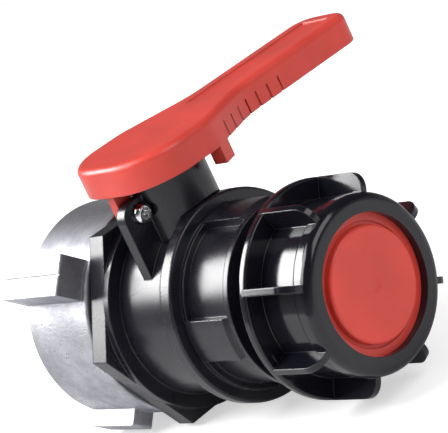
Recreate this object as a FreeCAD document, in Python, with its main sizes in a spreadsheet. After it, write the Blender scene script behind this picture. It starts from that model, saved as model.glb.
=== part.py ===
"""IBC tank valve: a two-inch quarter-turn ball valve with a cast union nut on the tank side,
a lever with a locking screw, and a finned nut that holds a blanking disc on the outlet.

Frame: millimetres, X along the flow from the tank to the outlet, Z up the stem.
The origin is the centre of the union nut's mouth. The lever lies along +Y when the valve is shut.
"""
import FreeCAD, Part
import os
import re
import Sketcher

SIZES = {
    # union nut on the tank side
    "union_length": 44.0, "union_radius": 50.0, "union_thread_radius": 40.0, "union_thread_length": 21.5,
    "union_relief": 0.8, "union_lip_thick": 12.5, "union_edge": 1.2, "union_turn": 49.5,
    "wide_lug_radius": 63.5, "wide_lug_width": 18.7, "wide_lug_setback": 3.0, "lug_back_setback": 0.4,
    "slim_lug_radius": 57.5, "slim_lug_width": 11.0, "slim_lug_front": 31.5, "slim_lug_back": 1.0,
    "parting_width": 0.7, "parting_depth": 0.8, "lug_edge": 1.0,
    # waterway, ball and seats
    "bore_radius": 24.0, "ball_radius": 34.5, "seat_clearance": 0.1, "seat_radius": 33.0,
    "seat_inner_radius": 24.6, "seat_depth": 30.0, "seat_thick": 8.4, "cavity_radius": 37.0,
    "fit_gap": 0.1,
    # valve body
    "spigot_radius": 34.0, "gasket_thick": 3.0, "gasket_setback": 0.3, "gasket_inner_radius": 25.0,
    "ring_width": 2.6, "ring_depth": 2.0, "ring_radius": 39.0, "ring_lip_gap": 0.3,
    "nut_gap": 1.5, "plate_thick": 9.7, "plate_apothem": 48.0,
    "rim_radius": 48.8, "rim_thick": 3.4, "drum_radius": 42.2, "drum_length": 33.4,
    "drum_bead": 1.6, "drum_bead_width": 4.0, "stem_setback": 22.8,
    "cavity_start": 3.0, "seal_inner_gap": 1.4, "seal_radius": 1.25,
    # neck and ear
    "neck_radius": 19.0, "neck_top": 67.5, "neck_wall": 3.0, "neck_core": 12.5, "neck_core_depth": 18.0,
    "ear_thick": 5.5, "ear_reach": 32.5, "ear_top": 61.0, "ear_foot": 25.5, "ear_corner": 8.0,
    "stop_thick": 3.6, "stop_reach": 27.0, "stop_top": 58.0, "stop_gap": 0.35, "neck_gap": 0.5,
    "spot_gap": 0.4, "spot_depth": 7.0,
    # stem, bush and seals
    "stem_radius": 8.0, "collar_radius": 10.0, "collar_thick": 4.0, "washer_thick": 1.6,
    "tang_width": 8.0, "tang_length": 16.0, "tang_depth": 5.6, "bush_radius": 12.4, "bush_length": 11.5,
    "o_ring": 0.8, "o_ring_width": 2.4, "lower_seal": 45.0, "upper_seal": 51.0,
    "drive_half": 5.6, "drive_length": 8.8, "clip_radius": 8.5, "clip_thick": 1.2, "clip_depth": 0.6,
    "clip_height": 4.0,
    # end piece
    "flange_radius": 47.2, "flange_thick": 7.2, "flange_edge": 1.2, "register_length": 3.5,
    "register_wall": 1.9, "root_radius": 41.5, "root_length": 2.0, "barrel_radius": 38.3,
    "barrel_length": 29.5, "barrel_lip": 2.2, "barrel_lip_width": 3.0,
    "pad_radius": 42.3, "pad_angle": 27.0, "pad_chamfer": 4.2,
    "outlet_thread_radius": 29.85, "thread_depth": 2.4, "thread_pitch": 6.0, "outlet_length": 36.2,
    "thread_start": 4.0,
    # finned nut, disc and gasket at the outlet
    "nut_length": 32.5, "nut_bore_gap": 0.4, "nut_barrel_radius": 37.6, "nut_nose_radius": 38.4,
    "nut_nose_length": 8.2, "nut_groove": 1.0, "nut_round": 4.2, "hoop_radius": 47.0, "hoop_thick": 4.0,
    "opening_radius": 30.0, "nut_lip_thick": 4.0, "fin_thick": 3.0, "fin_setback": 3.0,
    "fin_round": 7.5, "fin_turn": 18.0, "fin_count": 8,
    "disc_radius": 33.5, "disc_thick": 3.5, "disc_gap": 0.1, "disc_boss_radius": 24.9,
    "disc_boss_setback": 0.9, "disc_round": 1.4, "disc_hollow_radius": 21.0, "disc_web": 2.7,
    "dimple_radius": 4.0, "dimple_depth": 0.4, "disc_groove": 0.7, "disc_groove_width": 1.6,
    "disc_gasket_radius": 33.0, "disc_gasket_inner": 23.6, "disc_gasket_thick": 3.0, "nut_recess_gap": 0.5,
    # lever
    "lever_bottom": 66.5, "lever_height": 13.8, "lever_wall": 3.0, "hub_half": 31.0, "hub_back": 31.3,
    "hub_front": 9.0, "taper_end": 44.0, "arm_half": 17.3, "lever_reach": 125.5,
    "hub_round": 24.0, "hub_blend": 25.0, "arm_blend": 40.0, "tip_round": 11.0, "top_round": 3.2,
    "socket_radius": 12.0, "socket_gap": 0.6, "rib_thick": 2.0, "rib_offset": 6.5, "rib_depth": 7.0,
    "tab_thick": 4.4, "tab_reach": 28.2, "tab_inner": 19.4, "tab_bottom": 50.8, "tab_gap": 0.35,
    "lug_inner": 22.0, "lug_outer": 30.2, "lug_back": 27.2, "lug_near": 10.4, "lug_far": 18.4,
    "lug_bottom": 58.4,
    "grip_count": 7, "grip_first": 20.4, "grip_step": 7.7, "grip_width": 1.3,
    "grip_depth": 0.9, "grip_height": 7.2,
    "channel_half": 9.0, "channel_depth": 0.7, "channel_start": 34.0, "channel_end": 8.0,
    # locking screw
    "screw_offset": 22.3, "screw_height": 54.0, "screw_radius": 2.1, "screw_head_radius": 4.8,
    "screw_head_height": 3.0, "screw_head_round": 2.3, "screw_short": 0.3, "cross_half": 2.7,
    "cross_width": 1.1, "cross_depth": 1.5, "screw_clearance": 0.1,
}

# Places worked out from the sizes above, as formulas of the sheet.
PLACES = {
    "spigot_end": "union_thread_length + gasket_setback + gasket_thick",
    "lip_face": "union_length - union_lip_thick",
    "ring_front": "lip_face - ring_lip_gap",
    "plate_back": "union_length + nut_gap",
    "plate_front": "plate_back + plate_thick",
    "rim_front": "plate_front + rim_thick",
    "stem_x": "plate_front + stem_setback",
    "drum_end": "rim_front + drum_length",
    "flange_front": "drum_end + flange_thick",
    "barrel_end": "flange_front + barrel_length",
    "outlet_end": "barrel_end + outlet_length",
    "disc_back": "outlet_end + disc_gasket_thick",
    "disc_front": "disc_back + disc_thick",
    "lip_back": "disc_front + disc_gap",
    "nut_front": "lip_back + nut_lip_thick",
    "nut_back": "nut_front - nut_length",
    "collar_bottom": "ball_radius + 2 * fit_gap",
    "collar_top": "collar_bottom + collar_thick",
    "washer_top": "collar_top + fit_gap + washer_thick",
    "drive_bottom": "neck_top + socket_gap",
    "lever_top": "lever_bottom + lever_height",
    "lever_ceiling": "lever_top - lever_wall",
    "clip_bottom": "drive_bottom + clip_height",
    "core_radius": "outlet_thread_radius - thread_depth",
}

os.makedirs("parts", exist_ok=True)
doc = FreeCAD.newDocument("tank_valve")
sheet = doc.addObject("Spreadsheet::Sheet", "sizes")


def in_sheet(expression, prefix="sizes."):
    """Point every name in a formula at its cell in the sheet."""
    known = {**SIZES, **PLACES}
    return re.sub(r"[A-Za-z_]\w*", lambda m: prefix + m.group(0) if m.group(0) in known else m.group(0),
                  str(expression))


def fill_sheet():
    rows = [(name, str(value)) for name, value in SIZES.items()]
    rows += [(name, "=" + formula) for name, formula in PLACES.items()]
    for row, (name, text) in enumerate(rows, start=1):
        sheet.set(f"A{row}", name)
        sheet.set(f"B{row}", text)
        sheet.setAlias(f"B{row}", name)
    doc.recompute()


def value(expression):
    return float(sheet.evalExpression(in_sheet(expression)))


def bind(obj, **formulas):
    """Bind properties of an object to formulas of the sheet."""
    for name, formula in formulas.items():
        obj.setExpression(name.replace("__", "."), in_sheet(formula))


def new_body(label, x="0", y="0", z="0", turn=None):
    """A body for one piece, placed at x, y, z and turned about X."""
    body = doc.addObject("PartDesign::Body", label)
    body.Label = label
    bind(body, Placement__Base__x=x, Placement__Base__y=y, Placement__Base__z=z)
    if turn is not None:
        body.Placement = FreeCAD.Placement(FreeCAD.Vector(), FreeCAD.Rotation(FreeCAD.Vector(1, 0, 0), 1))
        bind(body, Placement__Rotation__Angle=turn)
    return body


def sketch(body, role, corners, lift="0", slide="0"):
    """A closed outline on one of the body's own planes. Each corner is (u, v) or (u, v, radius)."""
    plane = next(f for f in body.Origin.OriginFeatures if f.Role == role)
    outline = body.newObject("Sketcher::SketchObject", body.Name + "_sketch")
    outline.AttachmentSupport = [(plane, "")]
    outline.MapMode = "FlatFace"
    bind(outline, AttachmentOffset__Base__z=lift, AttachmentOffset__Base__x=slide)
    points = [FreeCAD.Vector(value(c[0]), value(c[1]), 0) for c in corners]
    count = len(points)
    for i in range(count):
        outline.addGeometry(Part.LineSegment(points[i], points[(i + 1) % count]), False)
    for i in range(count):
        outline.addConstraint(Sketcher.Constraint("Coincident", i, 2, (i + 1) % count, 1))
    for i, corner in enumerate(corners):
        for kind, formula in (("DistanceX", corner[0]), ("DistanceY", corner[1])):
            number = outline.addConstraint(Sketcher.Constraint(kind, -1, 1, i, 1, value(formula)))
            outline.setExpression(f"Constraints[{number}]", in_sheet(formula))
    for i, corner in enumerate(corners):
        if len(corner) == 3:
            round_corner(outline, (i - 1) % count, corner[2])
    return outline


def round_corner(outline, line, radius):
    """Round the corner at the end of a line with an arc whose radius follows the sheet."""
    before = outline.GeometryCount
    outline.fillet(line, 2, value(radius), True, True)
    for number in range(before, outline.GeometryCount):
        if isinstance(outline.Geometry[number], Part.ArcOfCircle):
            place = outline.addConstraint(Sketcher.Constraint("Radius", number, value(radius)))
            outline.setExpression(f"Constraints[{place}]", in_sheet(radius))


def revolve(body, corners, cut=False, upright=False, slide="0", angle=None):
    """Turn an outline of (along, radius) corners about X, or about Z for an upright piece."""
    if upright:
        corners = [(c[1], c[0]) + tuple(c[2:]) for c in corners]
    outline = sketch(body, "XZ_Plane", corners, slide=slide)
    kind = "PartDesign::Groove" if cut else "PartDesign::Revolution"
    feature = body.newObject(kind, body.Name + "_turned")
    feature.Profile = outline
    feature.ReferenceAxis = (outline, ["V_Axis" if upright else "H_Axis"])
    feature.Angle = 360
    if angle is not None:
        feature.Midplane = True
        bind(feature, Angle=angle)
    return finish(body, feature, cut)


def extrude(body, role, corners, length, cut=False, lift="0", slide="0", middle=False, back=False):
    """Pad or pocket an outline by a length."""
    outline = sketch(body, role, corners, lift, slide)
    feature = body.newObject("PartDesign::Pocket" if cut else "PartDesign::Pad", body.Name + "_block")
    feature.Profile = outline
    feature.Midplane = middle
    feature.Reversed = back
    bind(feature, Length=length)
    return finish(body, feature, cut)


def finish(body, feature, cut):
    """Recompute, and make sure that a cut has really taken material away."""
    before = body.Shape.Volume if cut else 0.0
    doc.recompute()
    if cut and not body.Shape.Volume < before - 1e-6:
        raise RuntimeError(f"{feature.Name} cuts nothing in {body.Label}")
    return feature


def around(body, features, count):
    """Repeat features evenly round the X axis."""
    pattern = body.newObject("PartDesign::PolarPattern", body.Name + "_round")
    pattern.Originals = features
    axis = next(f for f in body.Origin.OriginFeatures if f.Role == "X_Axis")
    pattern.Axis = (axis, [""])
    pattern.Angle = 360
    bind(pattern, Occurrences=count)
    body.Tip = pattern
    doc.recompute()
    return pattern


def round_edges(body, choose, radius):
    """Fillet the edges that a test picks."""
    names = [f"Edge{n}" for n, edge in enumerate(body.Shape.Edges, start=1) if choose(edge)]
    if not names:
        raise RuntimeError(f"no edge to round in {body.Label}")
    last = body.Tip
    feature = body.newObject("PartDesign::Fillet", body.Name + "_rounding")
    feature.Base = (last, names)
    bind(feature, Radius=radius)
    doc.recompute()
    return feature


def box(low_u, low_v, high_u, high_v):
    """Corners of a rectangle."""
    return [(low_u, low_v), (high_u, low_v), (high_u, high_v), (low_u, high_v)]


def mirrored(half):
    """Close a half outline, given at positive u, with its mirror image."""
    other = [("-(" + c[0] + ")",) + tuple(c[1:]) for c in reversed(half)]
    return half + other


def primitive(kind, name, **formulas):
    solid = doc.addObject(kind, name)
    bind(solid, **formulas)
    return solid


def along_x(solid):
    """Lay a primitive that stands along Z down along X."""
    solid.Placement.Rotation = FreeCAD.Rotation(FreeCAD.Vector(0, 1, 0), 90)


def cut_from(label, base, tools):
    """Take tools out of a base, one after another."""
    for number, tool in enumerate(tools, start=1):
        result = doc.addObject("Part::Cut", f"{label}_cut{number}")
        result.Base = base
        result.Tool = tool
        base = result
    base.Label = label
    doc.recompute()
    return base


def make_union_nut():
    """Cast ring nut: two wide lugs with a parting line, two slim ones, a plain bore at the thread's crest."""
    nut = new_body("union_nut", turn="union_turn")
    inner = "spigot_radius + ring_lip_gap"
    revolve(nut, [
        ("0", "union_thread_radius"), ("0", "union_radius", "union_edge"),
        ("union_length", "union_radius", "union_edge"), ("union_length", inner), ("lip_face", inner),
        ("lip_face", "union_thread_radius + union_relief"),
        ("union_thread_length", "union_thread_radius + union_relief"),
        ("union_thread_length", "union_thread_radius"),
    ])
    root = "union_radius - union_edge"
    wide = extrude(nut, "XZ_Plane", [
        ("lug_back_setback", root), ("lug_back_setback", "wide_lug_radius", "lug_edge"),
        ("union_length - wide_lug_setback", "wide_lug_radius", "lug_edge"),
        ("union_length - wide_lug_setback", root),
    ], "wide_lug_width", middle=True)
    slim = extrude(nut, "XY_Plane", [
        ("slim_lug_back", root), ("slim_lug_back", "slim_lug_radius", "lug_edge"),
        ("slim_lug_front", "slim_lug_radius", "lug_edge"), ("slim_lug_front", root),
    ], "slim_lug_width", middle=True)
    around(nut, [wide, slim], "2")
    for side in ("1", "-1"):
        extrude(nut, "XZ_Plane", box(
            "-1", side + " * (wide_lug_radius - parting_depth)",
            "union_length", side + " * (wide_lug_radius + 1)"), "parting_width", cut=True, middle=True)
    return nut


def make_valve_body():
    """Moulded body: tank spigot, hexagon plate, drum, neck and locking ear, with its cavities."""
    body = new_body("valve_body")
    revolve(body, [
        ("spigot_end", "bore_radius"), ("spigot_end", "spigot_radius"),
        ("plate_front", "spigot_radius"), ("plate_front", "rim_radius"),
        ("rim_front", "rim_radius"), ("rim_front", "drum_radius"),
        ("drum_end - drum_bead_width", "drum_radius"),
        ("drum_end - drum_bead_width", "drum_radius + drum_bead"),
        ("drum_end", "drum_radius + drum_bead"), ("drum_end", "bore_radius"),
    ])
    side = "plate_apothem / sqrt(3)"
    extrude(body, "YZ_Plane", [
        (side, "plate_apothem"), ("-" + side, "plate_apothem"), ("-2 * " + side, "0"),
        ("-" + side, "-plate_apothem"), (side, "-plate_apothem"), ("2 * " + side, "0"),
    ], "plate_thick", lift="plate_back")
    revolve(body, [("bore_radius", "0"), ("bore_radius", "neck_radius"), ("neck_top", "neck_radius"),
                   ("neck_top", "0")], upright=True, slide="stem_x")
    extrude(body, "YZ_Plane", [
        ("-ear_reach", "ear_foot"), ("-ear_reach", "ear_top", "ear_corner"), ("-neck_radius / 2", "ear_top"),
        ("-neck_radius / 2", "ear_foot + neck_radius / 2"),
    ], "ear_thick", lift="stem_x - ear_thick / 2")
    stop = "tab_gap + ear_thick / 2 + tab_thick + stop_gap"
    extrude(body, "XZ_Plane", box("stem_x - stop_reach", "plate_apothem - rim_thick",
                                  "stem_x - neck_radius / 2", "stop_top"),
            "stop_thick", lift="-(" + stop + ")", back=True)
    revolve(body, [
        ("spigot_end - 1", "0"), ("spigot_end - 1", "bore_radius"),
        ("stem_x - seat_depth", "bore_radius"), ("stem_x - seat_depth", "seat_radius"),
        ("rim_front + cavity_start", "seat_radius"), ("rim_front + cavity_start", "cavity_radius"),
        ("drum_end + 1", "cavity_radius"), ("drum_end + 1", "0"),
    ], cut=True)
    seal_inner = "cavity_radius + seal_inner_gap"
    revolve(body, box("drum_end - 2 * seal_radius", seal_inner, "drum_end + 1",
                      seal_inner + " + 2 * seal_radius + fit_gap"), cut=True)
    revolve(body, box("ring_front - ring_width - fit_gap", "spigot_radius - ring_depth",
                      "ring_front + fit_gap", "spigot_radius + 0.2"), cut=True)
    revolve(body, [
        ("bore_radius", "0"), ("bore_radius", "collar_radius + 4 * fit_gap"),
        ("washer_top", "collar_radius + 4 * fit_gap"), ("washer_top", "stem_radius + fit_gap"),
        ("neck_top - bush_length", "stem_radius + fit_gap"),
        ("neck_top - bush_length", "bush_radius + fit_gap"),
        ("neck_top + 1", "bush_radius + fit_gap"), ("neck_top + 1", "0"),
    ], cut=True, upright=True, slide="stem_x")
    revolve(body, box("drum_end", "0", "stem_x + neck_radius + 1", "flange_radius + neck_gap"), cut=True)
    face = "stem_x + ear_thick / 2"
    hole = "screw_radius + screw_clearance"
    drill(body, "screw_height", "-screw_offset", hole, face + " + 1", "ear_thick + 2")
    spot = "screw_head_radius + spot_gap"
    drill(body, "screw_height", "-screw_offset", spot, face + " + spot_depth", "spot_depth")
    return body


def drill(body, height, across, radius, start, depth):
    """A round hole that runs against X."""
    plane = next(f for f in body.Origin.OriginFeatures if f.Role == "YZ_Plane")
    outline = body.newObject("Sketcher::SketchObject", body.Name + "_hole")
    outline.AttachmentSupport = [(plane, "")]
    outline.MapMode = "FlatFace"
    bind(outline, AttachmentOffset__Base__z=start)
    centre = FreeCAD.Vector(value(across), value(height), 0)
    outline.addGeometry(Part.Circle(centre, FreeCAD.Vector(0, 0, 1), value(radius)), False)
    for kind, formula in (("DistanceX", across), ("DistanceY", height)):
        number = outline.addConstraint(Sketcher.Constraint(kind, -1, 1, 0, 3, value(formula)))
        outline.setExpression(f"Constraints[{number}]", in_sheet(formula))
    number = outline.addConstraint(Sketcher.Constraint("Radius", 0, value(radius)))
    outline.setExpression(f"Constraints[{number}]", in_sheet(radius))
    feature = body.newObject("PartDesign::Pocket", body.Name + "_drilled")
    feature.Profile = outline
    bind(feature, Length=depth)
    return finish(body, feature, True)


def make_end_piece():
    """Screwed-in outlet: register lip, big flange, barrel with wrench pads and the threaded outlet."""
    piece = new_body("end_piece")
    revolve(piece, [
        ("drum_end - register_length", "cavity_radius - fit_gap - register_wall"),
        ("drum_end - register_length", "cavity_radius - fit_gap"),
        ("drum_end", "cavity_radius - fit_gap"), ("drum_end", "flange_radius", "flange_edge"),
        ("flange_front", "flange_radius", "flange_edge"), ("flange_front", "root_radius"),
        ("flange_front + root_length", "root_radius"), ("flange_front + root_length", "barrel_radius"),
        ("barrel_end - barrel_lip_width", "barrel_radius"),
        ("barrel_end - barrel_lip_width", "barrel_radius + barrel_lip"),
        ("barrel_end", "barrel_radius + barrel_lip"), ("barrel_end", "core_radius"),
        ("outlet_end", "core_radius"), ("outlet_end", "bore_radius"),
        ("stem_x + seat_depth", "bore_radius"), ("stem_x + seat_depth", "seat_radius"),
        ("drum_end", "seat_radius"), ("drum_end", "cavity_radius - fit_gap - register_wall"),
    ])
    pad = revolve(piece, [
        ("flange_front + root_length / 2", "barrel_radius - register_wall"),
        ("flange_front + root_length / 2", "pad_radius"),
        ("barrel_end - pad_chamfer", "pad_radius"), ("barrel_end - fit_gap", "barrel_radius"),
        ("barrel_end - fit_gap", "barrel_radius - register_wall"),
    ], angle="pad_angle")
    around(piece, [pad], "4")
    cut_thread(piece)
    return piece


def cut_thread(piece):
    """Ridge of the outlet's coarse thread, wound round the outlet."""
    half = "thread_pitch / 4"
    outline = sketch(piece, "XZ_Plane", [
        ("-" + half, "core_radius - fit_gap"), ("-" + half + " / 3", "outlet_thread_radius"),
        (half + " / 3", "outlet_thread_radius"), (half, "core_radius - fit_gap"),
    ], slide="barrel_end + thread_start")
    helix = piece.newObject("PartDesign::AdditiveHelix", piece.Name + "_thread")
    helix.Profile = outline
    helix.ReferenceAxis = (outline, ["H_Axis"])
    helix.Mode = 0
    bind(helix, Pitch="thread_pitch", Height="outlet_length - 2 * thread_start")
    finish(piece, helix, False)


def make_outlet_nut():
    """Finned nut: hoop, eight fins, barrel with a nose ring and an inward lip round the opening."""
    nut = new_body("outlet_nut", turn="fin_turn")
    bore = "outlet_thread_radius + nut_bore_gap"
    recess = "disc_radius + nut_recess_gap"
    nose = "nut_front - nut_nose_length"
    revolve(nut, [
        ("nut_back", bore), ("nut_back", "hoop_radius", "nut_groove"),
        ("nut_back + hoop_thick", "hoop_radius", "nut_groove"),
        ("nut_back + hoop_thick", "nut_barrel_radius"), (nose + " - nut_groove", "nut_barrel_radius"),
        (nose + " - nut_groove", "nut_barrel_radius - nut_groove"),
        (nose, "nut_barrel_radius - nut_groove"), (nose, "nut_nose_radius"),
        ("nut_front", "nut_nose_radius", "nut_round"), ("nut_front", "opening_radius"),
        ("lip_back", "opening_radius"), ("lip_back", recess), ("outlet_end", recess), ("outlet_end", bore),
    ])
    inside = "nut_barrel_radius - 2 * nut_groove"
    fin = extrude(nut, "XY_Plane", [
        ("nut_back + hoop_thick / 2", inside), ("nut_back + hoop_thick / 2", "hoop_radius"),
        ("nut_front - fin_setback", "hoop_radius", "fin_round"), ("nut_front - fin_setback", inside),
    ], "fin_thick", middle=True)
    around(nut, [fin], "fin_count")
    return nut


def make_blanking_disc():
    """Blanking disc: flange behind the nut's lip, raised middle with a dimple, hollow at the back."""
    disc = new_body("blanking_disc")
    boss_face = "nut_front - disc_boss_setback"
    groove_outer = "disc_boss_radius + disc_groove_width"
    revolve(disc, [
        ("disc_back", "disc_hollow_radius"), ("disc_back", "disc_radius"), ("disc_front", "disc_radius"),
        ("disc_front", groove_outer), ("disc_front - disc_groove", groove_outer),
        ("disc_front - disc_groove", "disc_boss_radius"), (boss_face, "disc_boss_radius", "disc_round"),
        (boss_face, "dimple_radius"), (boss_face + " - dimple_depth", "dimple_radius / 2"),
        (boss_face + " - dimple_depth", "0"), (boss_face + " - disc_web", "0"),
        (boss_face + " - disc_web", "disc_hollow_radius"),
    ])
    return disc


def lever_outline(inset="0"):
    """Outline of the lever seen from above, drawn in by an inset."""
    return mirrored([
        ("hub_half - " + inset, "-hub_back + " + inset, "hub_round - " + inset),
        ("hub_half - " + inset, "hub_front", "hub_blend"),
        ("arm_half - " + inset, "taper_end", "arm_blend"),
        ("arm_half - " + inset, "lever_reach - " + inset, "tip_round - " + inset),
    ])


def make_lever():
    """Hollow lever: hub over the stem, arm, ribs, square socket, locking tab, stop lug and side grips."""
    lever = new_body("lever", x="stem_x")
    extrude(lever, "XY_Plane", lever_outline(), "lever_height", lift="lever_bottom")
    top = value("lever_top")
    round_edges(lever, lambda e: all(abs(v.Point.z - top) < 1e-4 for v in e.Vertexes), "top_round")
    extrude(lever, "XY_Plane", box("-channel_half", "channel_start", "channel_half",
                                   "lever_reach - channel_end"),
            "channel_depth", cut=True, lift="lever_top")
    extrude(lever, "XY_Plane", lever_outline("lever_wall"), "lever_height - lever_wall", cut=True,
            lift="lever_bottom", back=True)
    revolve(lever, box("drive_bottom", "0", "lever_ceiling + fit_gap", "socket_radius"), upright=True)
    for side in ("1", "-1"):
        extrude(lever, "XY_Plane", box(
            side + " * (rib_offset - rib_thick / 2)", "socket_radius / 2",
            side + " * (rib_offset + rib_thick / 2)", "lever_reach - lever_wall"),
            "rib_depth", lift="lever_ceiling - rib_depth + fit_gap")
    tab_face = "-(ear_thick / 2 + tab_gap)"
    extrude(lever, "XY_Plane", box(tab_face + " - tab_thick", "-tab_reach", tab_face, "-tab_inner"),
            "lever_ceiling - tab_bottom + fit_gap", lift="tab_bottom")
    extrude(lever, "XY_Plane", [
        ("lug_inner", "lug_near"), ("lug_outer", "lug_near"), ("lug_back", "lug_far"),
        ("lug_inner", "lug_far"),
    ], "lever_ceiling - lug_bottom + fit_gap", lift="lug_bottom")
    half = "drive_half + fit_gap"
    extrude(lever, "XY_Plane", box("-(" + half + ")", "-(" + half + ")", half, half),
            "drive_length + fit_gap", cut=True, lift="drive_bottom", back=True)
    revolve(lever, box("clip_bottom - fit_gap", "0", "clip_bottom + clip_thick + fit_gap",
                       "clip_radius + 2 * fit_gap"), cut=True, upright=True)
    hole = "screw_radius + screw_clearance"
    drill(lever, "screw_height", "-screw_offset", hole, "0", "ear_thick / 2 + tab_gap + tab_thick + 1")
    for number in range(int(SIZES["grip_count"])):
        place = f"grip_first + {number} * grip_step"
        for side in ("1", "-1"):
            cut_grip(lever, place, side)
    return lever


def cut_grip(lever, place, side):
    """One upright grip groove in the arm's side; it follows the taper by reaching in from outside."""
    slope = "max(0; taper_end - (" + place + ")) * (hub_half - arm_half) / (taper_end - hub_front)"
    face = "arm_half + " + slope
    extrude(lever, "XY_Plane", box(
        side + " * (" + face + " - grip_depth)", place,
        side + " * (" + face + " + lever_wall)", place + " + grip_width"),
        "grip_height", cut=True, lift="lever_bottom", back=True)


def make_stem():
    """Stem: tang in the ball, blow-out collar, two seal grooves and a square drive with a clip groove."""
    stem = new_body("stem", x="stem_x")
    floor = "stem_radius - 2 * o_ring"
    half = "o_ring_width / 2"
    revolve(stem, [
        ("collar_bottom", "0"), ("collar_bottom", "collar_radius"), ("collar_top", "collar_radius"),
        ("collar_top", "stem_radius"),
        ("lower_seal - " + half, "stem_radius"), ("lower_seal - " + half, floor),
        ("lower_seal + " + half, floor), ("lower_seal + " + half, "stem_radius"),
        ("upper_seal - " + half, "stem_radius"), ("upper_seal - " + half, floor),
        ("upper_seal + " + half, floor), ("upper_seal + " + half, "stem_radius"),
        ("drive_bottom - fit_gap", "stem_radius"), ("drive_bottom - fit_gap", "0"),
    ], upright=True)
    extrude(stem, "XY_Plane", box("-tang_length / 2", "-tang_width / 2", "tang_length / 2", "tang_width / 2"),
            "tang_depth + fit_gap", lift="collar_bottom - tang_depth")
    extrude(stem, "XY_Plane", box("-drive_half", "-drive_half", "drive_half", "drive_half"),
            "drive_length", lift="drive_bottom - fit_gap")
    outside = "2 * drive_half"
    revolve(stem, box("clip_bottom - fit_gap", "drive_half - clip_depth",
                      "clip_bottom + clip_thick + fit_gap", outside), cut=True, upright=True)
    return stem


def make_ball():
    """Ball with its bore lying across the flow, and a slot for the stem's tang."""
    sphere = primitive("Part::Sphere", "ball_sphere", Radius="ball_radius", Placement__Base__x="stem_x")
    bore = primitive("Part::Cylinder", "ball_bore", Radius="bore_radius", Height="4 * ball_radius",
                     Placement__Base__x="stem_x", Placement__Base__y="2 * ball_radius")
    bore.Placement.Rotation = FreeCAD.Rotation(FreeCAD.Vector(1, 0, 0), 90)
    slot = primitive("Part::Box", "ball_slot", Length="2 * ball_radius", Width="tang_width + 2 * fit_gap",
                     Height="ball_radius", Placement__Base__x="stem_x - ball_radius",
                     Placement__Base__y="-tang_width / 2 - fit_gap",
                     Placement__Base__z="collar_bottom - tang_depth - 2 * fit_gap")
    return cut_from("ball", sphere, [bore, slot])


def make_seat(label, start):
    """Seat ring with a spherical face that the ball turns against."""
    ring = primitive("Part::Cylinder", label + "_ring", Radius="seat_radius - fit_gap", Height="seat_thick",
                     Placement__Base__x=start)
    along_x(ring)
    hole = primitive("Part::Cylinder", label + "_hole", Radius="seat_inner_radius",
                     Height="seat_thick + 2", Placement__Base__x=start + " - 1")
    along_x(hole)
    sphere = primitive("Part::Sphere", label + "_sphere", Radius="ball_radius + seat_clearance",
                       Placement__Base__x="stem_x")
    return cut_from(label, ring, [hole, sphere])


def make_ring(label, along, radius, upright=False, **place):
    """Flat ring: along and radius are (low, high) pairs of formulas."""
    ring = new_body(label, **place)
    revolve(ring, box(along[0], radius[0], along[1], radius[1]), upright=upright)
    return ring


def make_o_ring(label, major, minor, along, upright=False):
    ring = primitive("Part::Torus", label, Radius1=major, Radius2=minor)
    ring.Label = label
    if upright:
        bind(ring, Placement__Base__x="stem_x", Placement__Base__z=along)
    else:
        along_x(ring)
        bind(ring, Placement__Base__x=along)
    return ring


def make_stem_rings():
    """Thrust washer, bush, two seals and the clip that stand round the stem."""
    shaft = "stem_radius + fit_gap"
    washer = make_ring("thrust_washer", ("collar_top + fit_gap", "washer_top"),
                       (shaft, "collar_radius + fit_gap"), upright=True, x="stem_x")
    bush = make_ring("stem_bush", ("neck_top - bush_length", "neck_top"), (shaft, "bush_radius"),
                     upright=True, x="stem_x")
    clip = make_ring("lever_clip", ("clip_bottom", "clip_bottom + clip_thick"),
                     ("drive_half - clip_depth + fit_gap / 2", "clip_radius"), upright=True, x="stem_x")
    seal_centre = "stem_radius - o_ring + fit_gap / 2"
    seals = [make_o_ring(label, seal_centre, "o_ring", height, upright=True)
             for label, height in (("lower_stem_seal", "lower_seal"), ("upper_stem_seal", "upper_seal"))]
    return [washer, bush, clip] + seals


def make_lock_screw():
    """Pan-head cross-recess screw through the ear, backed off clear of the lever's tab."""
    screw = new_body("lock_screw", x="stem_x + ear_thick / 2", y="-screw_offset", z="screw_height")
    revolve(screw, [
        ("-ear_thick + screw_short", "0"), ("-ear_thick + screw_short", "screw_radius"),
        ("0", "screw_radius"), ("0", "screw_head_radius"),
        ("screw_head_height", "screw_head_radius", "screw_head_round"), ("screw_head_height", "0"),
    ])
    wide = "cross_half"
    slim = "cross_width / 2"
    quarter = [(wide, slim), (slim, slim), (slim, wide)]
    cross = quarter + [("-" + u, v) for u, v in reversed(quarter)]
    cross += [("-" + u, "-" + v) for u, v in quarter]
    cross += [(u, "-" + v) for u, v in reversed(quarter)]
    extrude(screw, "YZ_Plane", cross, "cross_depth", cut=True, lift="screw_head_height")
    return screw


def make_all():
    seat_start = "stem_x - seat_depth"
    pieces = [make_union_nut(), make_valve_body(), make_end_piece(), make_outlet_nut(),
              make_blanking_disc(), make_lever(), make_stem(), make_ball(), make_lock_screw(),
              make_seat("inlet_seat", seat_start),
              make_seat("outlet_seat", "stem_x + seat_depth - seat_thick")]
    pieces += make_stem_rings()
    pieces.append(make_ring("tank_gasket", ("spigot_end - gasket_thick", "spigot_end"),
                            ("gasket_inner_radius", "spigot_radius")))
    pieces.append(make_ring("union_ring", ("ring_front - ring_width", "ring_front"),
                            ("spigot_radius - ring_depth + fit_gap", "ring_radius")))
    pieces.append(make_ring("disc_gasket", ("outlet_end", "disc_back"),
                            ("disc_gasket_inner", "disc_gasket_radius")))
    pieces.append(make_o_ring("end_piece_seal", "cavity_radius + seal_inner_gap + seal_radius + fit_gap / 2",
                              "seal_radius", "drum_end - seal_radius"))
    return pieces


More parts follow.
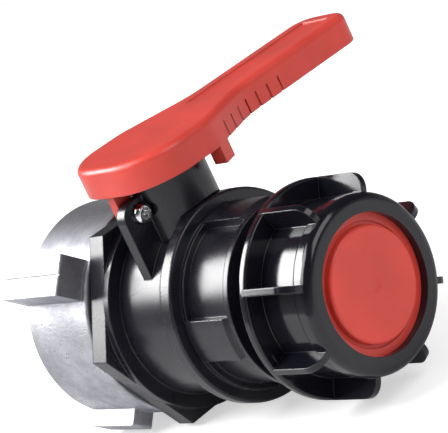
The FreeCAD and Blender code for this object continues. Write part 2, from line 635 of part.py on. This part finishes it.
def check(pieces):
    """Stop on any failed object, and on a piece that isn't one or more valid solids."""
    for obj in doc.Objects:
        if any(word in state for state in obj.State for word in ("Invalid", "Error")):
            raise RuntimeError(f"{obj.Name} failed: {obj.State}")
    for piece in pieces:
        if piece.Shape.isNull() or not piece.Shape.isValid() or not piece.Shape.Solids:
            raise RuntimeError(f"{piece.Label} has no valid solid")


fill_sheet()
parts = make_all()
doc.recompute()
check(parts)
for part in parts:
    part.Shape.exportStep(f"parts/{part.Label}.step")
    print(f"{part.Label:18s} {part.Shape.Volume / 1000:9.2f} cm3 {len(part.Shape.Solids)} solid")
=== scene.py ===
# %% [markdown]
# # A tank valve
#
# The valve comes from the CAD model: a cast union nut, a moulded body with a hexagon plate and a neck,
# a screwed-in outlet, a finned cap nut with a red disc, and a red quarter-turn lever.
# The solids already have their true shapes, so the work here is finishes, one small moulded detail,
# light and camera. Lengths are in metres, X runs along the flow and Z up the stem.

# %% Load the valve
import math

import bmesh
import bpy
from mathutils import Matrix, Vector


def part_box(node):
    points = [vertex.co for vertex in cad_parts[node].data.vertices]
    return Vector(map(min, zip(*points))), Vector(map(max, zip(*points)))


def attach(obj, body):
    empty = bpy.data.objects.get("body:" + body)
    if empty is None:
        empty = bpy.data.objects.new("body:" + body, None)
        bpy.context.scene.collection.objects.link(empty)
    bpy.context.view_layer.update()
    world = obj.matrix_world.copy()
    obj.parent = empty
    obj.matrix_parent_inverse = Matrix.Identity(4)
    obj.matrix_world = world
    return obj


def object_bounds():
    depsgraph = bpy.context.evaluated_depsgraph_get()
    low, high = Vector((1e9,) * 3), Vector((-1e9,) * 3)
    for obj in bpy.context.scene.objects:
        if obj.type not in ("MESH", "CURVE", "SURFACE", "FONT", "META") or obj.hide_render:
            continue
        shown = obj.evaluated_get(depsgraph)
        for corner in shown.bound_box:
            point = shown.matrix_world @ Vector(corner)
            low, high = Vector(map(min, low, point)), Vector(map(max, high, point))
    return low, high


MM = 0.001
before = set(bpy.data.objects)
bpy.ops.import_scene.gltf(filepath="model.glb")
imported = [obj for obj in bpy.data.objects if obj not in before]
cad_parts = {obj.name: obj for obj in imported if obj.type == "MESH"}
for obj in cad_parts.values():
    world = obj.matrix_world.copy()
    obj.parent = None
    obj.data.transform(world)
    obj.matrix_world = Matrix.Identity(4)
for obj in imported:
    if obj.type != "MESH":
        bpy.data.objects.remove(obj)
cad_low, cad_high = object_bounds()
cad_middle = (cad_low + cad_high) / 2
print("CAD box", [round(v / MM, 1) for v in cad_high - cad_low], "mm")

# %% [markdown]
# ## Effects that several finishes share
# Moulded plastic, cast metal and rubber all need softened edges, a fine grain and a few marks of
# handling. Each of these is a shader node group, built once and placed in every material with its own
# values. The helper below makes a group with named sockets, so that each effect stays short.

# %% A helper that starts a shader group
def start_group(name, inputs, outputs):
    """A new shader group with float inputs {name: default} and outputs {name: socket type}."""
    group = bpy.data.node_groups.new(name, "ShaderNodeTree")
    for label, default in inputs.items():
        socket = group.interface.new_socket(label, in_out="INPUT", socket_type="NodeSocketFloat")
        socket.default_value = default
    for label, kind in outputs.items():
        group.interface.new_socket(label, in_out="OUTPUT", socket_type=kind)
    return group, group.nodes.new("NodeGroupInput"), group.nodes.new("NodeGroupOutput")


def add(tree, kind, inputs=None, **settings):
    """A node with its settings, and its inputs set from numbers or linked from sockets."""
    node = tree.nodes.new(kind)
    for label, setting in settings.items():
        setattr(node, label, setting)
    for key, given in (inputs or {}).items():
        if isinstance(given, bpy.types.NodeSocket):
            tree.links.new(given, node.inputs[key])
        else:
            node.inputs[key].default_value = given
    return node


def maths(tree, operation, first, second=0.0, clamp=False):
    node = add(tree, "ShaderNodeMath", {0: first, 1: second}, operation=operation, use_clamp=clamp)
    return node.outputs[0]


def ramp(tree, value, low, high, start=0.0, end=1.0):
    """Carry a value from the range low..high to start..end, held at both ends."""
    node = add(tree, "ShaderNodeMapRange", {0: value, 1: low, 2: high, 3: start, 4: end}, clamp=True)
    return node.outputs[0]


print("helpers ready")

# %% [markdown]
# ## Softened edges
# A mould or a casting never has knife edges: each one carries a small radius that catches the light as
# a thin bright line. The solids keep crisp edges, so the Bevel node bends the shading normal near them.
# Where the bent normal leaves the true one, the surface is an edge, and that gives a mask for wear.

# %% Group: rounded edge
def make_rounded_edge():
    group, given, result = start_group("rounded_edge", {"Radius": 0.0006},
                                       {"Normal": "NodeSocketVector", "Edge": "NodeSocketFloat"})
    bent = add(group, "ShaderNodeBevel", {"Radius": given.outputs["Radius"]}, samples=6).outputs[0]
    true = add(group, "ShaderNodeNewGeometry").outputs["Normal"]
    match = add(group, "ShaderNodeVectorMath", {0: bent, 1: true}, operation="DOT_PRODUCT").outputs["Value"]
    group.links.new(bent, result.inputs["Normal"])
    group.links.new(ramp(group, match, 0.995, 0.90), result.inputs["Edge"])
    return group


rounded_edge = make_rounded_edge()
print("group", rounded_edge.name)

# %% [markdown]
# ## Moulded skin
# Injection-moulded plastic has two scales of unevenness: a fine grain left by the steel of the mould,
# and slow waves where the plastic shrank. The fine one goes to the bump, and the slow one shifts the
# tone and the roughness a little, which breaks up long reflections.

# %% Group: moulded skin
def make_moulded_skin():
    group, given, result = start_group("moulded_skin", {"Grain": 1400.0, "Waves": 38.0},
                                       {"Height": "NodeSocketFloat", "Tone": "NodeSocketFloat"})
    place = add(group, "ShaderNodeTexCoord").outputs["Object"]
    grain = add(group, "ShaderNodeTexNoise", {"Vector": place, "Scale": given.outputs["Grain"],
                                              "Detail": 3.0, "Roughness": 0.6}).outputs[0]
    waves = add(group, "ShaderNodeTexNoise", {"Vector": place, "Scale": given.outputs["Waves"],
                                              "Detail": 2.0, "Roughness": 0.5}).outputs[0]
    mixed = maths(group, "ADD", maths(group, "MULTIPLY", grain, 0.35), maths(group, "MULTIPLY", waves, 0.65))
    group.links.new(mixed, result.inputs["Height"])
    group.links.new(ramp(group, waves, 0.3, 0.7), result.inputs["Tone"])
    return group


moulded_skin = make_moulded_skin()
print("group", moulded_skin.name)

# %% [markdown]
# ## Sand-cast skin
# A light-metal casting copies the mould's sand: rounded grains about half a millimetre across, with
# scattered deeper pits and slow stains. Cells of a Voronoi texture give the grains and the pits.

# %% Group: cast skin
def make_cast_skin():
    group, given, result = start_group(
        "cast_skin", {"Grain": 1500.0, "Pits": 420.0},
        {"Height": "NodeSocketFloat", "Pit": "NodeSocketFloat", "Stain": "NodeSocketFloat"})
    place = add(group, "ShaderNodeTexCoord").outputs["Object"]
    grain = add(group, "ShaderNodeTexNoise", {"Vector": place, "Scale": given.outputs["Grain"],
                                              "Detail": 4.0, "Roughness": 0.72}).outputs[0]
    cells = add(group, "ShaderNodeTexVoronoi", {"Vector": place, "Scale": given.outputs["Pits"]}).outputs[0]
    patches = add(group, "ShaderNodeTexNoise", {"Vector": place, "Scale": 55.0, "Detail": 5.0,
                                                "Roughness": 0.65}).outputs[0]
    pit = maths(group, "MULTIPLY", ramp(group, cells, 0.24, 0.08), ramp(group, patches, 0.46, 0.62))
    height = maths(group, "SUBTRACT", grain, maths(group, "MULTIPLY", pit, 0.8))
    group.links.new(height, result.inputs["Height"])
    group.links.new(pit, result.inputs["Pit"])
    group.links.new(ramp(group, patches, 0.35, 0.68), result.inputs["Stain"])
    return group


cast_skin = make_cast_skin()
print("group", cast_skin.name)

# %% [markdown]
# ## Marks of handling
# Valves rub against each other in their box. Dark glossy plastic shows it as pale hairlines and tiny
# specks of dust. Thin noise bands, cut off near their middle value, give hairlines; small Voronoi cells,
# kept only where a second noise allows them, give specks.

# %% Group: handling marks
def make_handling():
    group, given, result = start_group("handling_marks", {"Amount": 1.0},
                                       {"Hairlines": "NodeSocketFloat", "Specks": "NodeSocketFloat"})
    place = add(group, "ShaderNodeTexCoord").outputs["Object"]
    turned = add(group, "ShaderNodeMapping", {"Vector": place, "Rotation": (0.5, 0.3, 0.9),
                                              "Scale": (40.0, 260.0, 90.0)}).outputs[0]
    bands = add(group, "ShaderNodeTexNoise", {"Vector": turned, "Scale": 1.0, "Detail": 2.0,
                                              "Distortion": 0.6}).outputs[0]
    thin = ramp(group, maths(group, "ABSOLUTE", maths(group, "SUBTRACT", bands, 0.5)), 0.012, 0.002)
    where = add(group, "ShaderNodeTexNoise", {"Vector": place, "Scale": 70.0, "Detail": 3.0}).outputs[0]
    hairlines = maths(group, "MULTIPLY", thin, ramp(group, where, 0.54, 0.66))
    cells = add(group, "ShaderNodeTexVoronoi", {"Vector": place, "Scale": 480.0}).outputs[0]
    specks = maths(group, "MULTIPLY", ramp(group, cells, 0.13, 0.06), ramp(group, where, 0.50, 0.60))
    for label, mask in (("Hairlines", hairlines), ("Specks", specks)):
        group.links.new(maths(group, "MULTIPLY", mask, given.outputs["Amount"], clamp=True),
                        result.inputs[label])
    return group


handling_marks = make_handling()
print("group", handling_marks.name)

# %% [markdown]
# ## Thread inside a nut
# The solids have plain bores where the real nuts have coarse threads. The thread can be drawn as a
# bump that climbs with the angle round X: the height repeats once per pitch, and only the wall between
# two radii takes it.

# %% Group: bore thread
def make_bore_thread():
    group, given, result = start_group(
        "bore_thread", {"Pitch": 0.006, "Inner": 0.0, "Outer": 0.041, "End": 0.02, "Start": 0.0},
        {"Height": "NodeSocketFloat", "Wall": "NodeSocketFloat"})
    place = add(group, "ShaderNodeTexCoord").outputs["Object"]
    axes = add(group, "ShaderNodeSeparateXYZ", {0: place})
    along, across, up = axes.outputs
    angle = maths(group, "ARCTAN2", up, across)
    climb = maths(group, "SUBTRACT", maths(group, "DIVIDE", along, given.outputs["Pitch"]),
                  maths(group, "DIVIDE", angle, 2 * math.pi))
    tooth = maths(group, "PINGPONG", climb, 0.5)
    radius = maths(group, "SQRT", maths(group, "ADD", maths(group, "MULTIPLY", across, across),
                                        maths(group, "MULTIPLY", up, up)))
    wall = maths(group, "MULTIPLY", maths(group, "LESS_THAN", radius, given.outputs["Outer"]),
                 maths(group, "GREATER_THAN", radius, given.outputs["Inner"]))
    span = maths(group, "MULTIPLY", maths(group, "LESS_THAN", along, given.outputs["End"]),
                 maths(group, "GREATER_THAN", along, given.outputs["Start"]))
    wall = maths(group, "MULTIPLY", wall, span)
    group.links.new(maths(group, "MULTIPLY", ramp(group, tooth, 0.12, 0.38), wall), result.inputs["Height"])
    group.links.new(wall, result.inputs["Wall"])
    return group


bore_thread = make_bore_thread()
print("group", bore_thread.name)

# %% [markdown]
# ## A start for every finish
# Each finish is one Principled BSDF, which covers plastic, metal and rubber alike. The helper makes the
# material and the shader, sets its constant sockets, and hands back what the finish adds to.

# %% A helper that starts a material
def start_finish(name, **constants):
    finish = bpy.data.materials.new(name)
    finish.use_nodes = True
    tree = finish.node_tree
    shader = tree.nodes["Principled BSDF"]
    for label, constant in constants.items():
        shader.inputs[label.replace("_", " ")].default_value = constant
    return finish, tree, shader


def place_group(tree, group, **values):
    node = add(tree, "ShaderNodeGroup", node_tree=group)
    for label, given in values.items():
        node.inputs[label].default_value = given
    return node.outputs


def blend_colour(tree, mask, plain, marked):
    """Colour that goes from plain to marked as the mask goes from 0 to 1."""
    node = add(tree, "ShaderNodeMix", {0: mask, 6: plain, 7: marked}, data_type="RGBA")
    return node.outputs[2]


def bump(tree, height, strength, depth, normal):
    node = add(tree, "ShaderNodeBump", {"Height": height, "Strength": strength, "Distance": depth,
                                        "Normal": normal})
    return node.outputs[0]


print("material helpers ready")

# %% [markdown]
# ## Moulded plastics
# The body, outlet, cap nut, lever and disc are all injection-moulded, in a satin black, a glossy black
# and a red. One function makes all of them from a base colour, a pale colour for worn edges, and a
# roughness. The moulded skin shifts tone and roughness, and the marks of handling sit on top.

# %% Moulded plastic finishes
def moulded_plastic(name, colour, worn, roughness, grain=0.25, marks=0.5, edge_radius=0.0006):
    finish, tree, shader = start_finish(name, IOR=1.5)
    edge = place_group(tree, rounded_edge, Radius=edge_radius)
    skin = place_group(tree, moulded_skin)
    marked = place_group(tree, handling_marks, Amount=marks)
    deep = tuple(0.86 * c for c in colour) + (1.0,)
    plain = tuple(1.06 * c for c in colour) + (1.0,)
    toned = blend_colour(tree, skin["Tone"], deep, plain)
    rubbed = maths(tree, "MULTIPLY", edge["Edge"], 0.22)
    toned = blend_colour(tree, rubbed, toned, tuple(worn) + (1.0,))
    spotted = maths(tree, "MAXIMUM", marked["Specks"], maths(tree, "MULTIPLY", marked["Hairlines"], 0.4))
    toned = blend_colour(tree, maths(tree, "MULTIPLY", spotted, 0.35), toned, tuple(worn) + (1.0,))
    tree.links.new(toned, shader.inputs["Base Color"])
    gloss = ramp(tree, skin["Tone"], 0.0, 1.0, roughness * 0.88, roughness * 1.12)
    gloss = maths(tree, "ADD", gloss, maths(tree, "MULTIPLY", marked["Hairlines"], 0.12))
    tree.links.new(gloss, shader.inputs["Roughness"])
    tree.links.new(bump(tree, skin["Height"], grain, 0.00012, edge["Normal"]), shader.inputs["Normal"])
    return finish


satin_black = moulded_plastic("satin_black_plastic", (0.011, 0.011, 0.017), (0.10, 0.10, 0.12), 0.27,
                              edge_radius=0.0009)
gloss_black = moulded_plastic("gloss_black_plastic", (0.008, 0.008, 0.013), (0.09, 0.09, 0.11), 0.13,
                              grain=0.12, edge_radius=0.0007)
signal_red = moulded_plastic("signal_red_plastic", (0.74, 0.062, 0.044), (0.85, 0.30, 0.24), 0.36,
                             grain=0.18, marks=0.25, edge_radius=0.0008)
ball_black = moulded_plastic("ball_plastic", (0.05, 0.05, 0.055), (0.16, 0.16, 0.17), 0.10, grain=0.05)
white_seat = moulded_plastic("seat_white", (0.80, 0.80, 0.77), (0.88, 0.88, 0.86), 0.30, grain=0.08)
print("plastics", satin_black.name, gloss_black.name, signal_red.name)

# %% [markdown]
# ## Cast aluminium
# The union nut is cast and then left as it is: a pale grey metal skin with a sandy grain, dark pits
# and rubbed bright edges. Its bore carries the tank's coarse thread, which the bore-thread group adds.

# %% Cast aluminium finish
def cast_aluminium():
    finish, tree, shader = start_finish("cast_aluminium", Metallic=1.0)
    edge = place_group(tree, rounded_edge, Radius=0.0007)
    skin = place_group(tree, cast_skin)
    thread = place_group(tree, bore_thread, Inner=0.0395, Outer=0.0404, End=0.0214, Start=-0.001)
    metal = blend_colour(tree, skin["Stain"], (0.30, 0.30, 0.33, 1.0), (0.52, 0.52, 0.56, 1.0))
    metal = blend_colour(tree, skin["Pit"], metal, (0.10, 0.10, 0.12, 1.0))
    metal = blend_colour(tree, maths(tree, "MULTIPLY", edge["Edge"], 0.5), metal, (0.80, 0.80, 0.84, 1.0))
    tree.links.new(metal, shader.inputs["Base Color"])
    dull = ramp(tree, skin["Stain"], 0.0, 1.0, 0.50, 0.38)
    tree.links.new(maths(tree, "SUBTRACT", dull, maths(tree, "MULTIPLY", thread["Wall"], 0.15)),
                   shader.inputs["Roughness"])
    normal = bump(tree, skin["Height"], 0.8, 0.00024, edge["Normal"])
    tree.links.new(bump(tree, thread["Height"], 1.0, 0.0022, normal), shader.inputs["Normal"])
    return finish


aluminium = cast_aluminium()
print("metal", aluminium.name)

# %% [markdown]
# ## Small metals and rubber
# The locking screw is bright chrome, the rings and the clip are plain steel, and the gaskets are black
# rubber. They are small, so a softened edge and a little unevenness are enough.

# %% Chrome, steel and rubber finishes
def bright_metal(name, colour, roughness, spread):
    finish, tree, shader = start_finish(name, Metallic=1.0)
    edge = place_group(tree, rounded_edge, Radius=0.00025)
    skin = place_group(tree, moulded_skin, Grain=2600.0, Waves=220.0)
    deep = tuple(0.8 * c for c in colour) + (1.0,)
    tree.links.new(blend_colour(tree, skin["Tone"], deep, colour + (1.0,)), shader.inputs["Base Color"])
    tree.links.new(ramp(tree, skin["Tone"], 0.0, 1.0, roughness, roughness + spread),
                   shader.inputs["Roughness"])
    tree.links.new(bump(tree, skin["Height"], 0.1, 0.00008, edge["Normal"]), shader.inputs["Normal"])
    return finish


chrome = bright_metal("screw_chrome", (0.86, 0.86, 0.88), 0.05, 0.05)
steel = bright_metal("ring_steel", (0.60, 0.60, 0.62), 0.24, 0.12)
rubber = moulded_plastic("gasket_rubber", (0.018, 0.018, 0.018), (0.07, 0.07, 0.07), 0.62,
                         grain=0.5, marks=0.8)
print("metals", chrome.name, steel.name, "rubber", rubber.name)

# %% [markdown]
# ## Dressing the solids
# Every CAD piece keeps its mesh and takes one finish. A dictionary from piece to finish is easy to read
# against the parts list.

# %% Give each CAD piece its finish
FINISHES = {
    "union_nut": aluminium, "valve_body": satin_black, "end_piece": satin_black,
    "outlet_nut": gloss_black, "blanking_disc": signal_red, "lever": signal_red,
    "stem": satin_black, "ball": ball_black, "lock_screw": chrome,
    "inlet_seat": white_seat, "outlet_seat": white_seat, "thrust_washer": white_seat,
    "stem_bush": white_seat, "lever_clip": steel, "union_ring": steel,
    "lower_stem_seal": rubber, "upper_stem_seal": rubber, "tank_gasket": rubber,
    "disc_gasket": rubber, "end_piece_seal": rubber,
}
for name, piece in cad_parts.items():
    piece.data.materials.clear()
    piece.data.materials.append(FINISHES[name])
print(len(FINISHES), "pieces dressed")

# %% [markdown]
# ## Putting a new piece in place
# A small detail is built as a bmesh, turned into an object at the origin, and rides on the body it is
# moulded to. It takes the finish that it is given.

# %% Helpers that add an object and a piece
def add_object(name, shape, finish):
    """An object at the origin made from a bmesh, which is used up."""
    mesh = bpy.data.meshes.new(name)
    shape.to_mesh(mesh)
    shape.free()
    mesh.materials.append(finish)
    thing = bpy.data.objects.new(name, mesh)
    bpy.context.scene.collection.objects.link(thing)
    return thing


def add_piece(name, shape, finish, body):
    bmesh.ops.remove_doubles(shape, verts=shape.verts, dist=1e-6)
    bmesh.ops.recalc_face_normals(shape, faces=shape.faces)
    piece = add_object(name, shape, finish)
    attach(piece, body)
    print(name, len(piece.data.polygons), "faces on", body)
    return piece


# %% [markdown]
# ## Raised bar on the hoop
# The front of the cap nut's hoop carries a short raised bar that follows its curve. A small rectangle
# spun about the flow axis makes it, and a bevel softens it. The cap nut starts with its hoop, so the
# bar's place along X is the nut's back end plus the hoop's thickness.

# %% Raised bar on the cap nut's hoop
HOOP_THICK = 4.0 * MM
BAR_ROOT = 0.3 * MM
BAR_BEVEL = 0.25 * MM


def hoop_bar(face, radius, width, height, start, sweep):
    """A bar on a face across X, rooted in it, that runs round X from the start angle."""
    inner = radius - width / 2
    outer = radius + width / 2
    shape = bmesh.new()
    corners = [(face - BAR_ROOT, inner), (face + height, inner),
               (face + height, outer), (face - BAR_ROOT, outer)]
    verts = [shape.verts.new((x, 0.0, r)) for x, r in corners]
    section = shape.faces.new(verts)
    bmesh.ops.rotate(shape, verts=verts, cent=(0, 0, 0), matrix=Matrix.Rotation(start, 3, "X"))
    copy = bmesh.ops.duplicate(shape, geom=[section])["geom"]
    first = [e for e in copy if isinstance(e, bmesh.types.BMFace)]
    bmesh.ops.spin(shape, geom=[section], axis=(1, 0, 0), cent=(0, 0, 0), angle=sweep, steps=14,
                   use_merge=False)
    bmesh.ops.reverse_faces(shape, faces=first)
    bmesh.ops.remove_doubles(shape, verts=shape.verts, dist=1e-6)
    bmesh.ops.recalc_face_normals(shape, faces=shape.faces)
    sharp = math.radians(40)
    rim = [e for e in shape.edges if len(e.link_faces) == 2 and e.calc_face_angle() > sharp]
    bmesh.ops.bevel(shape, geom=rim, offset=BAR_BEVEL, segments=2, profile=0.5, affect="EDGES",
                    material=-1)
    return shape


nut_low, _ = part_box("outlet_nut")
bar = hoop_bar(face=nut_low.x + HOOP_THICK, radius=43.0 * MM, width=1.5 * MM, height=0.6 * MM,
               start=math.radians(100), sweep=math.radians(17))
add_piece("hoop_bar", bar, gloss_black, "cap_nut")

# %% [markdown]
# ## The room
# The valve stands over a pale floor that runs on as the backdrop. It takes the light plainly, and a
# little glow that only the camera and mirrors see lifts it to white while the shadow stays.

# %% Floor
FLOOR_HALF = 6.0
FLOOR_DROP = 0.5 * MM


def empty_material(name):
    """A material whose shaders are all added by hand, with the node that they end in."""
    finish = bpy.data.materials.new(name)
    finish.use_nodes = True
    finish.node_tree.nodes.clear()
    return finish, finish.node_tree, add(finish.node_tree, "ShaderNodeOutputMaterial")


def mirror_rays(tree):
    """The paths of the rays, and a mask for those from glossy surfaces and through glass."""
    path = add(tree, "ShaderNodeLightPath").outputs
    return path, maths(tree, "MAXIMUM", path["Is Glossy Ray"], path["Is Transmission Ray"])


def paper_white(seen, mirrored):
    """Pale paper that glows by one strength for the camera and by another for mirrors."""
    finish, tree, out = empty_material("paper_white")
    path, mirrors = mirror_rays(tree)
    strength = maths(tree, "ADD", maths(tree, "MULTIPLY", path["Is Camera Ray"], seen),
                     maths(tree, "MULTIPLY", mirrors, mirrored))
    paper = add(tree, "ShaderNodeBsdfDiffuse", {"Color": (0.86, 0.86, 0.87, 1.0)})
    glow = add(tree, "ShaderNodeEmission", {"Color": (1.0, 1.0, 1.0, 1.0), "Strength": strength})
    both = add(tree, "ShaderNodeAddShader", {0: paper.outputs[0], 1: glow.outputs[0]})
    tree.links.new(both.outputs[0], out.inputs["Surface"])
    return finish


def make_floor():
    shape = bmesh.new()
    bmesh.ops.create_grid(shape, x_segments=1, y_segments=1, size=FLOOR_HALF)
    bmesh.ops.translate(shape, verts=shape.verts, vec=(0, 0, cad_low.z - FLOOR_DROP))
    floor = add_object("floor", shape, paper_white(seen=0.55, mirrored=0.05))
    return floor


print("floor at", round(make_floor().data.vertices[0].co.z / MM, 1), "mm")

# %% [markdown]
# ## World
# Soft light from all round fills the shadows. The camera sees white; mirrors see a grey horizon that
# darkens overhead, as a studio's ceiling does, which keeps black plastic black.

# %% World light
def make_world(fill, horizon, ceiling):
    """Plain fill light, and a sky for mirrors that goes from the horizon's to the ceiling's strength."""
    world = bpy.data.worlds.new("studio")
    bpy.context.scene.world = world
    world.use_nodes = True
    tree = world.node_tree
    tree.nodes.clear()
    facing = add(tree, "ShaderNodeTexCoord").outputs["Generated"]
    height = add(tree, "ShaderNodeSeparateXYZ", {0: facing}).outputs[2]
    sky = ramp(tree, height, 0.02, 0.35, horizon, ceiling)
    path, mirrors = mirror_rays(tree)
    plain = maths(tree, "MULTIPLY", maths(tree, "SUBTRACT", 1.0, mirrors), fill)
    strength = maths(tree, "ADD", plain, maths(tree, "MULTIPLY", mirrors, sky))
    strength = maths(tree, "MAXIMUM", strength, path["Is Camera Ray"])
    light = add(tree, "ShaderNodeBackground", {"Color": (1.0, 1.0, 1.0, 1.0), "Strength": strength})
    out = add(tree, "ShaderNodeOutputWorld")
    tree.links.new(light.outputs[0], out.inputs["Surface"])
    return world


print("world", make_world(fill=0.30, horizon=0.40, ceiling=0.05).name)

# %% [markdown]
# ## Lamps
# Two large soft lamps shape the valve: a key from the left and above, and a weaker fill from the right.
# They are aimed at the middle of the valve.

# %% Soft lamps
def soft_lamp(name, direction, distance, size, power):
    lamp = bpy.data.lights.new(name, "AREA")
    lamp.shape = "SQUARE"
    lamp.size = size
    lamp.energy = power
    holder = bpy.data.objects.new(name, lamp)
    away = Vector(direction).normalized()
    holder.location = cad_middle + away * distance
    holder.rotation_mode = "QUATERNION"
    holder.rotation_quaternion = away.to_track_quat("Z", "Y")
    bpy.context.scene.collection.objects.link(holder)
    return holder


soft_lamp("key_lamp", direction=(-0.35, -0.62, 0.75), distance=1.4, size=0.9, power=20.0)
soft_lamp("fill_lamp", direction=(0.75, 0.15, 0.65), distance=1.6, size=1.0, power=9.0)
print("lamps placed")

# %% [markdown]
# ## Reflector board
# Black plastic shows its form only through what it mirrors. A bright board that lights nothing, and is
# seen only in reflections, draws the broad highlights on the drum, the outlet and the cap nut.

# %% Reflector board
def glowing(name, strength):
    finish, tree, out = empty_material(name)
    glow = add(tree, "ShaderNodeEmission", {"Color": (1.0, 1.0, 1.0, 1.0), "Strength": strength})
    tree.links.new(glow.outputs[0], out.inputs["Surface"])
    return finish


def board(name, direction, distance, side, strength):
    shape = bmesh.new()
    bmesh.ops.create_grid(shape, x_segments=1, y_segments=1, size=side / 2)
    away = Vector(direction).normalized()
    turn = away.to_track_quat("Z", "Y").to_matrix().to_4x4()
    place = Matrix.Translation(cad_middle + away * distance) @ turn
    bmesh.ops.transform(shape, verts=shape.verts, matrix=place)
    panel = add_object(name, shape, glowing(name + "_glow", strength))
    panel.visible_camera = False
    panel.visible_diffuse = False
    panel.visible_shadow = False
    return panel


board("side_board", direction=(-0.76, -0.40, 0.51), distance=1.5, side=0.70, strength=19.0)
print("board placed")

# %% [markdown]
# ## Camera
# The view comes from the outlet's side, a little above, through a long lens, and the camera leans over
# so that the stem tilts to the left.

# %% Camera
CAMERA_PLACE = (0.8663, -0.6048, 0.2979)
CAMERA_TURN = (73.599, 24.132, 44.739)  # degrees about X, Y and Z
CAMERA_LENS = 188.6  # millimetres

camera = bpy.data.cameras.new("camera")
camera.sensor_width = 36.0
camera.lens = CAMERA_LENS
camera.clip_end = 20.0
viewer = bpy.data.objects.new("camera", camera)
viewer.location = CAMERA_PLACE
viewer.rotation_euler = [math.radians(angle) for angle in CAMERA_TURN]
bpy.context.scene.collection.objects.link(viewer)
bpy.context.scene.camera = viewer
bpy.context.scene.view_settings.view_transform = "Standard"
print("camera at", [round(v, 3) for v in viewer.location])
